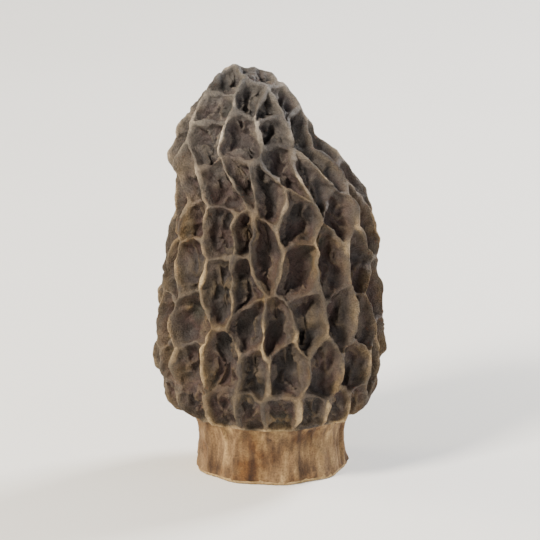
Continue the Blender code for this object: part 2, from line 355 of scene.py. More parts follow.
def curve_through(points, steps=24):
    """A smooth curve (Catmull-Rom) through the points, with the length run along it."""
    knots = np.array([points[0], *points, points[-1]], float)
    if points[0][0] == 0.0:
        knots[0] = (-points[1][0], points[1][1])
    if points[-1][0] == 0.0:
        knots[-1] = (-points[-2][0], points[-2][1])
    path = []
    for p0, p1, p2, p3 in zip(knots, knots[1:], knots[2:], knots[3:]):
        for t in np.linspace(0.0, 1.0, steps, endpoint=False):
            bend = (2 * p0 - 5 * p1 + 4 * p2 - p3) * t**2 + (3 * p1 - p0 - 3 * p2 + p3) * t**3
            path.append(0.5 * (2 * p1 + (p2 - p0) * t + bend))
    path.append(knots[-2])
    path = np.array(path)
    along = np.concatenate([[0.0], np.cumsum(np.linalg.norm(np.diff(path, axis=0), axis=1))])
    return path, along


PATH, ALONG = curve_through(OUTLINE)
MARGIN = float(np.interp(-MARGIN_HEIGHT, -PATH[:, 1], ALONG))


def flat_radius_table():
    """How far from its middle each ring of the cap lies on the flat map where pits are round."""
    radius = np.maximum(PATH[:, 0], 1e-3)
    t = np.clip(ALONG / TIP_ZONE, 0.0, 1.0)
    stretch = 1.0 + (PIT_WIDTH / PIT_HEIGHT - 1.0) * t * t * (3 - 2 * t)
    rate = stretch / radius
    growth = np.concatenate([[0.0], np.cumsum(np.diff(ALONG) * (rate[1:] + rate[:-1]) / 2)])
    start = 6
    return ALONG[start] * np.exp(growth - growth[start])


FLAT = flat_radius_table()


def to_flat(azimuth, along):
    """From the cap's outline to the flat map. Azimuth 0 is the front, growing to the right."""
    flat = np.interp(along, ALONG, FLAT)
    return np.stack([flat * np.sin(azimuth), -flat * np.cos(azimuth)], axis=-1)


def from_flat(spot):
    """From the flat map back to an azimuth and a distance below the tip along the outline."""
    azimuth = math.atan2(spot[0], -spot[1])
    return azimuth, float(np.interp(math.hypot(spot[0], spot[1]), FLAT, ALONG))


def outline_at(azimuth, along):
    """The place on the turned outline and the direction out of it there."""
    radius, height = (float(np.interp(along, ALONG, PATH[:, i])) for i in (0, 1))
    step = 0.05
    before, after = (
        [np.interp(along + way, ALONG, PATH[:, i]) for i in (0, 1)] for way in (-step, step)
    )
    run, fall = (float(b - a) for a, b in zip(before, after))
    size = math.hypot(run, fall)
    sin, cos = math.sin(azimuth), math.cos(azimuth)
    out = Vector((-fall * sin, fall * cos, run)) / size
    return Vector((radius * sin, -radius * cos, height)), out


def lean_at(height):
    """How far the axis stands to the side at a height."""
    t = min(1.0, max(0.0, (height - LEAN_FROM) / (LEAN_TO - LEAN_FROM)))
    return LEAN * t * t * (3 - 2 * t)


def shrivelled(place):
    """Bends a place on the true turned form into the leaning, lumpy form that drying leaves."""
    azimuth = math.atan2(place.x, -place.y)
    lump = sum(
        share * math.cos(waves * azimuth + turn + place.z / climb)
        for share, waves, turn, climb in LUMPS
    )
    swell = 1.0 + lump * min(1.0, max(0.0, place.z / LUMPS_FULL_FROM))
    return Vector((place.x * swell + lean_at(place.z), place.y * swell * FLATTENED, place.z))


def pit_depth(along):
    """How deep the pits are at a distance below the tip along the outline."""
    stretches = (0.0, TIP_ZONE, MARGIN - MARGIN_ZONE, MARGIN)
    depths = (PIT_DEPTH_AT_TIP, PIT_DEPTH, PIT_DEPTH, PIT_DEPTH_AT_MARGIN)
    return float(np.interp(along, stretches, depths))


def pits_on_front():
    """The pits seen on the front, as azimuths and distances below the tip along the outline."""
    for right, below in FRONT_PITS:
        along = float(np.interp(below, TIP_HEIGHT - PATH[:, 1], ALONG))
        radius = float(np.interp(along, ALONG, PATH[:, 0]))
        turn = (right - lean_at(TIP_HEIGHT - below)) / radius
        yield math.asin(max(-0.99, min(0.99, turn))), along


def spread_pits():
    """Every pit's middle on the flat map: those seen on the front, then rings over the rest.

    The guards lie under the cap's margin, and only close the borders of the lowest pits.
    """
    pits = [to_flat(azimuth, along) for azimuth, along in pits_on_front()]
    guards = []
    draw = random.Random(SEED)
    lowest = MARGIN - MARGIN_TO_LOWEST_RING * PIT_HEIGHT
    ring = lowest
    while ring > PIT_DEPTH:
        radius = float(np.interp(ring, ALONG, PATH[:, 0]))
        count = max(PITS_IN_SMALL_RING, round(2 * math.pi * radius / PIT_WIDTH))
        if radius > WIDE_RADIUS:
            count = PITS_IN_WIDE_RING
        turn = 2 * math.pi / count
        spacing = turn * float(np.interp(ring, ALONG, FLAT))
        twist = RING_TWIST * math.sin(ring / RING_TWIST_LENGTH)
        for i in range(count):
            azimuth = (i + draw.uniform(-JITTER_ROUND, JITTER_ROUND)) * turn + twist
            up = draw.uniform(-JITTER_UP, JITTER_UP) * PIT_HEIGHT
            spot = to_flat(azimuth, ring if ring == lowest else ring + up)
            if min(np.linalg.norm(spot - p) for p in pits) > CLOSEST_PITS * spacing:
                pits.append(spot)
                if ring == lowest:
                    below = MARGIN + (1.0 - MARGIN_TO_LOWEST_RING) * PIT_HEIGHT
                    guards.append(to_flat(azimuth, below))
        ring -= PIT_HEIGHT * min(1.0, RING_GAP_AT_TIP + radius / RING_GAP_RADIUS)
    return pits, guards


def circle_middle(a, b, c):
    """The middle of the circle through three points of the flat map."""
    b, c = b - a, c - a
    twice = 2 * (b[0] * c[1] - b[1] * c[0])
    bb, cc = b.dot(b), c.dot(c)
    return a + np.array([c[1] * bb - b[1] * cc, b[0] * cc - c[0] * bb]) / twice


def rib_net():
    """The net of ribs on the flat map: its corners, and each pit's ring of corners."""
    pits, guards = spread_pits()
    spots = [Vector(p) for p in pits + guards]
    _, _, triangles, origin, _, _ = geometry.delaunay_2d_cdt(spots, [], [], 0, TOUCHING)
    made_from = [o[0] for o in origin]
    corners, rings = [], [[] for _ in pits]
    for triangle in triangles:
        trio = [made_from[i] for i in triangle]
        corners.append(circle_middle(*(np.array(spots[i]) for i in trio)))
        for i in trio:
            if i < len(pits):
                rings[i].append(len(corners) - 1)
    for pit, ring in zip(pits, rings):
        turns = {c: math.atan2(corners[c][1] - pit[1], corners[c][0] - pit[0]) for c in ring}
        ring.sort(key=turns.get)
    return corners, rings


def on_cap(spot):
    """The place on the cap's outline, with the ribs' wander, for a spot of the flat map."""
    azimuth, along = from_flat(spot)
    place, out = outline_at(azimuth, along)
    shift = WANDER * noise.noise_vector(place / WANDER_LENGTH)
    shift *= min(1.0, along / TIP_ZONE) * min(1.0, max(0.0, (MARGIN - along) / PIT_HEIGHT))
    return place + shift - out * shift.dot(out), out


def cut_short(bm, rib):
    """Cuts a rib of the net into short, equal lengths, so that it can bend."""
    start, end = rib.verts
    length = (on_cap(start.co)[0] - on_cap(end.co)[0]).length
    for left in range(round(length / RIB_STEP), 1, -1):
        _, start = bmesh.utils.edge_split(rib, start, 1.0 / left)
        rib = bm.edges.get((start, end))


def join_close_corners(bm):
    """Corners of the net that nearly touch on the cap become one."""
    flat = {v: v.co.copy() for v in bm.verts}
    for v in bm.verts:
        v.co = on_cap(v.co)[0]
    bmesh.ops.remove_doubles(bm, verts=bm.verts[:], dist=CORNER_GAP)
    for v in bm.verts:
        v.co = flat[v]


def lay_net(bm):
    """One face of the flat map for each pit, ringed by the ribs in short lengths."""
    corners, rings = rib_net()
    used = sorted({c for ring in rings for c in ring})
    at_corner = {c: bm.verts.new((*corners[c], 0.0)) for c in used}
    for ring in rings:
        bm.faces.new([at_corner[c] for c in ring])
    join_close_corners(bm)
    for rib in list(bm.edges):
        cut_short(bm, rib)
    return bm.faces[:]


def grain(place, sizes):
    """Noises added up. Each size is a height and the length over which the noise repeats."""
    return sum(height * noise.noise(place / length) for height, length in sizes)


def smoothed(values):
    """Values at the net's points, each drawn halfway to the mean of its neighbours' values."""
    return {
        v: 0.5 * value + 0.5 * np.mean([values.get(e.other_vert(v), value) for e in v.link_edges])
        for v, value in values.items()
    }


def shape_crests(bm, below):
    """Ribs that run round the cap stand lower and get painted shade, and drying nibbles all of
    them.
    """
    places, drops, cross_shade = {}, {}, {}
    for v in bm.verts:
        places[v], out = on_cap(v.co)
        across = Vector((-out.y, out.x, 0.0)).normalized()
        down = out.cross(across)
        joined = [e.other_vert(v) for e in v.link_edges if not e.is_boundary]
        if len(joined) > 1:
            runs = [(on_cap(other.co)[0] - places[v]).normalized() for other in joined]
            level = 1.0 - max(abs(run.dot(down)) for run in runs) ** 2
            uneven = noise.noise(places[v] / UNEVEN_DROP_LENGTH + DROP_CORNER)
            drop = (CROSS_RIB_DROP + UNEVEN_DROP * uneven) * level
            drops[v] = drop * pit_depth(from_flat(v.co)[1])
            # Painted shade: ribs that run round the cap are painted darker, as if deeper.
            uneven = noise.noise(places[v] / CROSS_RIB_SHADE_LENGTH)
            cross_shade[v] = level * (CROSS_RIB_SHADE + UNEVEN_CROSS_RIB_SHADE * uneven)
    for _ in range(SMOOTHINGS):
        drops = smoothed(drops)
    for v, drop in drops.items():
        place = places[v]
        nibble = CREST_RISE * noise.noise(place / CREST_RISE_LENGTH)
        nibble += grain(place, NIBBLES)
        split = GROOVE_SHARPNESS * noise.noise(place / GROOVE_LENGTH + GROOVE_CORNER)
        groove = GROOVE * min(1.0, max(0.0, split))
        v.co.z = CREST_LIFT - drop + nibble - groove
        # Painted shade: lower crests and grooves are painted darker, raised nibbles lighter.
        wear_and_shade = max(0.0, DROP_LOOKS_DEEP * drop - NIBBLE_LOOKS_DEEP * nibble)
        v[below] = wear_and_shade + groove + max(0.0, cross_shade[v])


def ring_shares(border, reaches):
    """How much of the way to a pit's middle, at 0, lies each ring, for every point of the border.

    A ring keeps one distance from the whole border, so that a rib is as wide all along.
    """
    shares = np.linspace(0.0, 1.0, SHARE_STEPS)
    points = border[:, None] - border[:, None] * shares[None, :, None]
    run = np.roll(border, -1, axis=0) - border
    from_start = points[:, :, None] - border
    part = np.clip((from_start * run).sum(-1) / (run * run).sum(-1), 0.0, 1.0)
    gaps = np.linalg.norm(from_start - part[..., None] * run, axis=-1).min(axis=2)
    gaps = np.maximum.accumulate(gaps, axis=1)
    found = []
    for (_, most, _), reach in zip(RIB_PROFILE, reaches):
        share = [np.interp(r, gap, shares, right=1.0) for r, gap in zip(reach, gaps)]
        least = found[-1] + NEXT_SHARE if found else FIRST_SHARE
        found.append(np.clip(share, least, np.maximum(most, least)))
    return found


def sink_pits(bm, pits, below):
    """Draws each rib's sides and each pit's floor in rings from the crest towards the middle."""
    plans = {}
    for face in pits:
        flat = np.array([v.co[:] for v in face.verts])
        middle = flat.mean(axis=0)
        place, out = on_cap(middle)
        across = Vector((-out.y, out.x, 0.0)).normalized()
        down = out.cross(across)
        spots = [on_cap(v.co)[0] for v in face.verts]
        border = np.array([((s - place).dot(across), (s - place).dot(down)) for s in spots])
        uneven = [
            UNEVEN_WIDTH * noise.noise(s / UNEVEN_WIDTH_LENGTH + WIDTH_CORNER)
            + UNEVEN_WIDTH * noise.noise(s / WIDE_RIB_LENGTH - WIDTH_CORNER)
            for s in spots
        ]
        width = np.maximum(NARROWEST, MEAN_WIDTH + np.array(uneven))
        reaches = [
            reach * width ** max(0.0, 1.0 - i / RINGS_THAT_WIDEN)
            for i, (reach, _, _) in enumerate(RIB_PROFILE)
        ]
        shares = ring_shares(border, reaches)
        depth = 1.0 + UNEVEN_DEPTH * noise.noise(place / UNEVEN_DEPTH_LENGTH)
        crests = [v[below] for v in face.verts]
        plans[face] = flat, middle, shares, min(DEEPEST, depth), crests
    for i, (_, _, height) in enumerate(RIB_PROFILE):
        bmesh.ops.inset_individual(bm, faces=pits, thickness=0.0)
        for face in pits:
            flat, middle, shares, depth, crests = plans[face]
            scale = pit_depth(from_flat(middle)[1]) / PIT_DEPTH
            for v, start, share, crest in zip(face.verts, flat, shares[i], crests):
                spot = start + (middle - start) * share
                sunk = scale * depth * height
                keep = max(0.0, 1.0 + height / RISE_FADES_AT)
                v.co = Vector((spot[0], spot[1], start[2] * keep + sunk))
                v[below] = max(crest * (1.0 + height / CREST_SHADE_FADES_AT), 0.0) - height


def lay_over_cap(bm):
    """Lays the flat map over the cap's outline, and each height of the map over the outline."""
    for v in bm.verts:
        place, out = on_cap(v.co)
        high = max(0.0, 1.0 + v.co.z / PIT_DEPTH)
        tilt = TIP_OVER * noise.noise_vector(place / TIP_OVER_LENGTH + TIP_OVER_CORNER)
        frill = FRILL * noise.noise_vector(place / FRILL_LENGTH)
        frill += FINE_FRILL * noise.noise_vector(place / FINE_FRILL_LENGTH)
        tilt += frill
        tilt *= high * min(1.0, max(0.0, (MARGIN - from_flat(v.co)[1]) / MARGIN_ZONE))
        v.co = place + out * v.co.z + tilt - out * tilt.dot(out)


def draw_ring(bm, radius_at, height, slot):
    """Draws the open rim on to a new ring of the stem, the cut or the hollow."""
    rim = [e for e in bm.edges if e.is_boundary]
    grown = bmesh.ops.extrude_edge_only(bm, edges=rim)["geom"]
    for v in (g for g in grown if isinstance(g, bmesh.types.BMVert)):
        azimuth = math.atan2(v.co.x, -v.co.y)
        radius = radius_at(azimuth)
        v.co = Vector((radius * math.sin(azimuth), -radius * math.cos(azimuth), height))
    for face in (g for g in grown if isinstance(g, bmesh.types.BMFace)):
        face.material_index = slot


def grow_stem_and_hollow(bm):
    """Draws the cap's margin down the stem, in over the cut and up the inside of the hollow."""

    def furrowed(radius):
        return lambda azimuth: radius - FURROW_DEPTH * math.cos(FURROWS * azimuth + FURROW_TURN)

    def folded(radius):
        return lambda azimuth: radius * (1 + FOLD_SHARE * math.cos(FOLDS * azimuth))

    for radius, height in STEM_PROFILE:
        draw_ring(bm, furrowed(radius), height, STEM)
    for i, (radius, height) in enumerate(CUT_PROFILE):
        blend = i / (len(CUT_PROFILE) - 1)

        def between(azimuth, radius=radius, blend=blend):
            outer = furrowed(radius)(azimuth)
            return outer * (1 - blend) + folded(radius)(azimuth) * blend

        draw_ring(bm, between, height, FLESH)
    path, along = curve_through(HOLLOW)
    start = float(np.interp(HOLLOW_FROM, path[:, 1], along))
    rings = round((along[-1] - start) / HOLLOW_STEP)
    for here in np.linspace(start, along[-1] - HOLLOW_TOP_GAP, rings):
        radius, height = (float(np.interp(here, along, path[:, i])) for i in (0, 1))
        draw_ring(bm, folded(radius), height, FLESH)
    rim = [v for v in bm.verts if v.is_boundary]
    lid = bm.faces.new(sorted(rim, key=lambda v: math.atan2(v.co.x, -v.co.y)))
    lid.material_index = FLESH


def put_in_order(bm):
    """Sorts edges and faces by their points, as extruding leaves them in a new order each run."""
    bm.verts.index_update()
    for parts in (bm.edges, bm.faces):
        order = sorted(parts, key=lambda part: sorted(v.index for v in part.verts))
        rank = {part: i for i, part in enumerate(order)}
        parts.sort(key=rank.get)


def base_mesh():
    """The morel's mesh before it is rounded, in millimetres."""
    noise.seed_set(NOISE_SEED)
    bm = bmesh.new()
    below = bm.verts.layers.float.new("below")
    pits = lay_net(bm)
    shape_crests(bm, below)
    sink_pits(bm, pits, below)
    lay_over_cap(bm)
    cap = set(bm.verts)
    grow_stem_and_hollow(bm)
    for v in bm.verts:
        if v not in cap:
            v[below] = DEPTH_OFF_CAP
        v.co = shrivelled(v.co) + Vector((*STEM_AXIS, 0.0))
    bmesh.ops.recalc_face_normals(bm, faces=bm.faces[:])
    put_in_order(bm)
    mesh = bpy.data.meshes.new("morel_base")
    bm.to_mesh(mesh)
    bm.free()
    pairs = np.empty(len(mesh.edges) * 2, np.int32)
    mesh.edges.foreach_get("vertices", pairs)
    mesh.edges.foreach_set("vertices", np.sort(pairs.reshape(-1, 2), axis=1).ravel())
    return mesh


def modified(mesh, kind, **settings):
    """The mesh after one modifier, with its attributes."""
    holder = bpy.data.objects.new("morel_base", mesh)
    bpy.context.scene.collection.objects.link(holder)
    modifier = holder.modifiers.new(kind.lower(), kind)
    for name, value in settings.items():
        setattr(modifier, name, value)
    seen = holder.evaluated_get(bpy.context.evaluated_depsgraph_get())
    result = bpy.data.meshes.new_from_object(seen)
    bpy.data.objects.remove(holder)
    bpy.data.meshes.remove(mesh)
    return result


def ridge(place, sharpness=2.6):
    """Noise with sharp tops, from 0 in the lows to 1 on the ridges."""
    return 1.0 - min(1.0, abs(noise.noise(place)) * sharpness)


def cap_relief(place, below):
    """How far a point of the cap moves outwards, and how strongly a fold runs through it."""
    crest = max(0.0, 1.0 - below / CREST_REACH)
    floor = min(1.0, max(0.0, (below - FLOOR_FROM) / FLOOR_FADE))
    drawn = Vector((place.x / FOLD_WIDTH, place.y / FOLD_WIDTH, place.z / FOLD_LENGTH))
    drawn += FOLD_BEND * noise.noise_vector(place / FOLD_BEND_LENGTH)
    fold = ridge(drawn, FOLD_SHARPNESS) ** 3
    crumple = sum(height * ridge(place / length) ** 2 for height, length in CRUMPLES)
    on_floor = FOLD_HEIGHT * fold + crumple - FLOOR_SUNK
    rise = SIDE_RISE * noise.noise(place / SIDE_RISE_LENGTH)
    on_side = SIDE_FOLD_HEIGHT * fold + rise + crumple - SIDE_SUNK
    move = grain(place, BEADS) * crest + on_floor * floor + on_side * (1 - crest) * (1 - floor)
    return move, fold * floor


def stem_relief(place):
    """How far a point of the stem moves outwards: strands that run up it, and their threads."""
    strand = Vector((place.x / STRAND_WIDTH, place.y / STRAND_WIDTH, place.z / STRAND_LENGTH))
    strand += STRAND_BEND * noise.noise_vector(place / STRAND_BEND_LENGTH)
    fade = min(1.0, place.z / STRANDS_FULL_FROM)
    fade *= min(1.0, max(0.0, (MARGIN_HEIGHT - place.z) / STRANDS_FADE))
    threads = THREAD_HEIGHT * noise.noise(strand * THREADS_PER_STRAND)
    return (STRAND_HEIGHT * ridge(strand) ** 2 - STRAND_SUNK + threads) * fade


def lining_relief(place):
    """How far a point of the cut or the lining moves outwards: creases that run up the hollow."""
    crease = Vector((place.x / LINING_WIDTH, place.y / LINING_WIDTH, place.z / LINING_LENGTH))
    fade = min(1.0, max(0.0, place.z / LINING_FULL_FROM))
    rise = LINING_RISE * noise.noise(place / LINING_RISE_LENGTH)
    return -LINING_DEPTH * ridge(crease) ** 2 * fade + rise


def gathered(values, name, width=1):
    """A value of every element of a mesh, in rows of the given width."""
    found = np.empty(len(values) * width, np.float32)
    values.foreach_get(name, found)
    return found.reshape(-1, width) if width > 1 else found


def wrinkle(mesh, amount):
    """Moves every point along its normal, by the relief of what it is part of.

    A fold on a pit's floor then looks less deep than the floor round it: painted light.
    """
    places = gathered(mesh.vertices, "co", 3)
    normals = gathered(mesh.vertex_normals, "vector", 3)
    below = gathered(mesh.attributes["below"].data, "value")
    slots = np.zeros(len(places), np.int8)
    for face in mesh.polygons:
        if face.material_index:
            slots[list(face.vertices)] = face.material_index
    moves = np.empty(len(places), np.float32)
    relief = {STEM: stem_relief, FLESH: lining_relief}
    for i, slot in enumerate(slots):
        place = Vector(places[i])
        if slot in relief:
            height, length = FINE_GRAIN[slot]
            moves[i] = relief[slot](place)
            moves[i] += height * noise.noise(place / length)
        else:
            moves[i], fold = cap_relief(place, below[i])
            # Painted light: a fold gets less of the pits' painted shade.
            below[i] -= min(FOLD_SHADE_LIFT * fold, max(0.0, below[i] - FOLD_LOOKS_DEEP))
    mesh.attributes["below"].data.foreach_set("value", below)
    places += normals * moves[:, None] * amount
    places[:, 2] = np.maximum(places[:, 2], 0.0)
    mesh.vertices.foreach_set("co", places.ravel())
    mesh.update()


def morel_mesh(wrinkles):
    """The finished mesh, in metres, with fewer and larger triangles where it is flat."""
    mesh = modified(base_mesh(), "SUBSURF", levels=1, render_levels=1)
    wrinkle(mesh, wrinkles)
    triangles = sum(len(face.vertices) - 2 for face in mesh.polygons)
    share = min(1.0, MOST_TRIANGLES / triangles)
    mesh = modified(mesh, "DECIMATE", ratio=share, use_collapse_triangulate=True)
    for v in mesh.vertices:
        v.co.z = max(0.0, v.co.z)
    mesh.transform(Matrix.Scale(MM, 4))
    return mesh


def link(name, mesh):
    """A new object for a finished mesh, smooth-shaded, with its place in the mesh."""
    obj = bpy.data.objects.new(name, mesh)
    bpy.context.scene.collection.objects.link(obj)
    mesh.shade_smooth()
    return obj


def linear(colour):
    """An sRGB hex colour as linear red, green, blue and alpha."""
    parts = [int(colour[i : i + 2], 16) / 255 for i in (1, 3, 5)]
    return (*(p / 12.92 if p <= 0.04045 else ((p + 0.055) / 1.055) ** 2.4 for p in parts), 1.0)


def add(tree, kind, inputs=(), stops=(), **settings):
    """Adds a node. An input takes a link or a value.

    A ramp's stops are places and colours, with the two outer ones first.
    """
    node = tree.nodes.new(kind)
    for name, value in settings.items():
        setattr(node, name, value)
    for name, value in dict(inputs).items():
        if isinstance(value, bpy.types.NodeSocket):
            tree.links.new(value, node.inputs[name])
        else:
            node.inputs[name].default_value = value
    for i, (place, colour) in enumerate(stops):
        points = node.color_ramp.elements
        point = points[i] if i < 2 else points.new(place)
        point.position = place
        point.color = linear(colour)
    return node


def new_material(name):
    """A material with its tree, shader and the Object coordinates that its patterns read."""
    material = bpy.data.materials.new(name)
    material.use_nodes = True
    tree = material.node_tree
    shader = tree.nodes["Principled BSDF"]
    where = tree.nodes.new("ShaderNodeTexCoord").outputs["Object"]
    return material, tree, shader, where


def cap_skin():
    """The skin of a dried black morel's cap: tan, worn crests over dark grey-brown pits, with
    painted shade.

    It is dry and matte on the crests, and a little satin where it has tightened over the floors.
    """
    material, tree, shader, where = new_material("dried_cap_skin")
    below = add(tree, "ShaderNodeAttribute", attribute_name="below").outputs["Fac"]
    at = {"Vector": where}
    # Patches some millimetres across, where drying left the skin redder, greener or greyer.
    patches = add(tree, "ShaderNodeTexNoise", {**at, "Scale": 1 / (4.0 * MM), "Detail": 2.0})
    # Patches where the crests are worn pale, or still have their dark skin.
    wear_and_shade = add(tree, "ShaderNodeTexNoise", {**at, "Scale": 1 / (3.4 * MM), "Detail": 4.0})
    # Flecks that make the edge between crest and pit ragged.
    flecks = add(tree, "ShaderNodeTexNoise", {**at, "Scale": 1 / (0.5 * MM), "Detail": 4.0})
    # The fine grain of the skin.
    fine = add(tree, "ShaderNodeTexNoise", {**at, "Scale": 1 / (0.12 * MM), "Detail": 3.0})

    # How deep a point looks, from 0 at the crest to 1 on the floor, which sets the painted shade.
    ragged = add(tree, "ShaderNodeMath", {0: flecks.outputs["Fac"], 1: 0.20, 2: -0.10},
        operation="MULTIPLY_ADD")
    depth = add(tree, "ShaderNodeMath", {0: below, 1: 0.5, 2: ragged.outputs[0]},
        operation="MULTIPLY_ADD", use_clamp=True).outputs[0]

    floor = add(tree, "ShaderNodeValToRGB", {"Fac": patches.outputs["Fac"]},
        stops=[(0.30, "#322D29"), (0.70, "#403B32"), (0.44, "#433B37"), (0.56, "#4C3A34")])
    wall = add(tree, "ShaderNodeValToRGB", {"Fac": patches.outputs["Fac"]},
        stops=[(0.32, "#5C4E3B"), (0.68, "#6F5B3F"), (0.50, "#53493F")])
    crest = add(tree, "ShaderNodeValToRGB", {"Fac": wear_and_shade.outputs["Fac"]},
        stops=[(0.40, "#463E37"), (0.66, "#BFA478"), (0.48, "#615544"), (0.56, "#857156")])

    # Crest, wall and floor colours by depth: partly the skin's own colour, partly painted shade.
    to_wall = add(tree, "ShaderNodeValToRGB", {"Fac": depth},
        stops=[(0.03, "#000000"), (0.17, "#FFFFFF")])
    to_floor = add(tree, "ShaderNodeValToRGB", {"Fac": depth},
        stops=[(0.17, "#000000"), (0.58, "#FFFFFF")])
    upper = add(tree, "ShaderNodeMix", {0: to_wall.outputs["Color"], 6: crest.outputs["Color"],
        7: wall.outputs["Color"]}, data_type="RGBA")
    colour = add(tree, "ShaderNodeMix", {0: to_floor.outputs["Color"], 6: upper.outputs[2],
        7: floor.outputs["Color"]}, data_type="RGBA")

    # Painted shade: the middles of the deepest pits are darker.
    deep_pit_shade = add(tree, "ShaderNodeMapRange", {0: depth, 1: 0.55, 2: 0.95, 3: 1.0, 4: 0.78})
    colour = add(tree, "ShaderNodeMix", {0: 1.0, 6: colour.outputs[2], 7: deep_pit_shade.outputs[0]},
        data_type="RGBA", blend_type="MULTIPLY")

    # Towards the tip the skin is greyer and its crests are duller, and a painted sheen lightens
    # it.
    height = add(tree, "ShaderNodeSeparateXYZ", {0: where}).outputs[2]
    at_tip = add(tree, "ShaderNodeMapRange",
        {0: height, 1: 22.0 * MM, 2: 34.0 * MM, 3: 0.0, 4: 0.75})
    grey_and_sheen = add(tree, "ShaderNodeHueSaturation", {"Saturation": 0.35, "Value": 1.3,
        "Color": colour.outputs[2]})
    tip_grey_and_sheen = add(tree, "ShaderNodeMix", {0: at_tip.outputs[0], 6: colour.outputs[2],
        7: grey_and_sheen.outputs[0]}, data_type="RGBA")

    grained = add(tree, "ShaderNodeValToRGB", {"Fac": fine.outputs["Fac"]},
        stops=[(0.3, "#C4C4C4"), (0.6, "#FFFFFF")])
    skin = add(tree, "ShaderNodeMix", {0: 1.0, 6: tip_grey_and_sheen.outputs[2],
        7: grained.outputs["Color"]}, data_type="RGBA", blend_type="MULTIPLY")
    tree.links.new(skin.outputs[2], shader.inputs["Base Color"])

    sheen = add(tree, "ShaderNodeMapRange", {0: depth, 1: 0.1, 2: 0.6, 3: 0.75, 4: 0.52})
    tree.links.new(sheen.outputs[0], shader.inputs["Roughness"])
    lumps = add(tree, "ShaderNodeMath", {0: flecks.outputs["Fac"], 1: fine.outputs["Fac"]},
        operation="ADD")
    bump = add(tree, "ShaderNodeBump", {"Height": lumps.outputs[0], "Strength": 1.0,
        "Distance": 0.14 * MM})
    tree.links.new(bump.outputs[0], shader.inputs["Normal"])
    shader.inputs["Specular IOR Level"].default_value = 0.28
    shader.inputs["Subsurface Weight"].default_value = 0.03
    shader.inputs["Subsurface Radius"].default_value = (0.9 * MM, 0.5 * MM, 0.3 * MM)
    shader.inputs["Subsurface Scale"].default_value = 1.0
    return material


def stem_skin():
    """The stem's dried skin: tan brown, matte, drawn into furrows."""
    material, tree, shader, where = new_material("dried_stem_skin")
    # Strands that run up the stem, five times as long as they are wide.
    stretch = add(tree, "ShaderNodeMapping", {"Vector": where, "Scale": (1.0, 1.0, 0.2)})
    strands = add(tree, "ShaderNodeTexNoise", {"Vector": stretch.outputs[0],
        "Scale": 1 / (0.7 * MM), "Detail": 4.0})
    # The fine grain of the skin.
    fine = add(tree, "ShaderNodeTexNoise", {"Vector": where, "Scale": 1 / (0.15 * MM),
        "Detail": 3.0})
    tan = add(tree, "ShaderNodeValToRGB", {"Fac": strands.outputs["Fac"]},
        stops=[(0.3, "#4E3A28"), (0.7, "#A88A5E"), (0.5, "#7C6142")])
    grained = add(tree, "ShaderNodeValToRGB", {"Fac": fine.outputs["Fac"]},
        stops=[(0.3, "#C8C8C8"), (0.6, "#FFFFFF")])
    # Brown stains some millimetres across, left by handling and drying.
    stains = add(tree, "ShaderNodeTexNoise", {"Vector": where, "Scale": 1 / (3.0 * MM),
        "Detail": 4.0})
    brown = add(tree, "ShaderNodeValToRGB", {"Fac": stains.outputs["Fac"]},
        stops=[(0.38, "#A58B70"), (0.58, "#FFFFFF")])
    stained = add(tree, "ShaderNodeMix", {0: 1.0, 6: tan.outputs["Color"],
        7: brown.outputs["Color"]}, data_type="RGBA", blend_type="MULTIPLY")
    skin = add(tree, "ShaderNodeMix", {0: 1.0, 6: stained.outputs[2],
        7: grained.outputs["Color"]}, data_type="RGBA", blend_type="MULTIPLY")
    tree.links.new(skin.outputs[2], shader.inputs["Base Color"])
    lumps = add(tree, "ShaderNodeMath", {0: strands.outputs["Fac"], 1: fine.outputs["Fac"]},
        operation="ADD")
    bump = add(tree, "ShaderNodeBump", {"Height": lumps.outputs[0], "Strength": 0.5,
        "Distance": 0.12 * MM})
    tree.links.new(bump.outputs[0], shader.inputs["Normal"])
    shader.inputs["Roughness"].default_value = 0.74
    shader.inputs["Specular IOR Level"].default_value = 0.3
    return material


def inner_flesh():
    """Cut flesh and the hollow's lining: pale tan, mealy and quite matte."""
    material, tree, shader, where = new_material("dried_inner_flesh")
    patches = add(tree, "ShaderNodeTexNoise", {"Vector": where, "Scale": 1 / (2.5 * MM),
        "Detail": 3.0})
    # Meal: the tiny grains of the lining.
    meal = add(tree, "ShaderNodeTexNoise", {"Vector": where, "Scale": 1 / (0.25 * MM),
        "Detail": 4.0})
    pale = add(tree, "ShaderNodeValToRGB", {"Fac": patches.outputs["Fac"]},
        stops=[(0.3, "#8E744C"), (0.75, "#93764B"), (0.55, "#AC9165")])
    mealy = add(tree, "ShaderNodeValToRGB", {"Fac": meal.outputs["Fac"]},
        stops=[(0.3, "#BBBBBB"), (0.6, "#FFFFFF")])
    flesh = add(tree, "ShaderNodeMix", {0: 1.0, 6: pale.outputs["Color"],
        7: mealy.outputs["Color"]}, data_type="RGBA", blend_type="MULTIPLY")
    tree.links.new(flesh.outputs[2], shader.inputs["Base Color"])
    bump = add(tree, "ShaderNodeBump", {"Height": meal.outputs["Fac"], "Strength": 0.6,
        "Distance": 0.12 * MM})
    tree.links.new(bump.outputs[0], shader.inputs["Normal"])
    shader.inputs["Roughness"].default_value = 0.85
    shader.inputs["Specular IOR Level"].default_value = 0.3
    return material


def pale_floor():
    """Matte white board."""
    material, tree, shader, where = new_material("matte_white_board")
    # Faint clouds, some centimetres across, as painted board has.
    clouds = add(tree, "ShaderNodeTexNoise", {"Vector": where, "Scale": 1 / (60.0 * MM),
        "Detail": 2.0})
    board = add(tree, "ShaderNodeValToRGB", {"Fac": clouds.outputs["Fac"]},
        stops=[(0.3, "#E9E7E3"), (0.7, "#EFEDE9")])
    tree.links.new(board.outputs["Color"], shader.inputs["Base Color"])
    shader.inputs["Roughness"].default_value = 0.9
    return material


class MorelSettings(bpy.types.PropertyGroup):
    """What a user may change about the morel."""

    wrinkles: FloatProperty(
        name="Wrinkles",
        description="How strongly the skin is creased",
        default=1.0,
        min=0.0,
        max=2.0,
        subtype="FACTOR",
    )


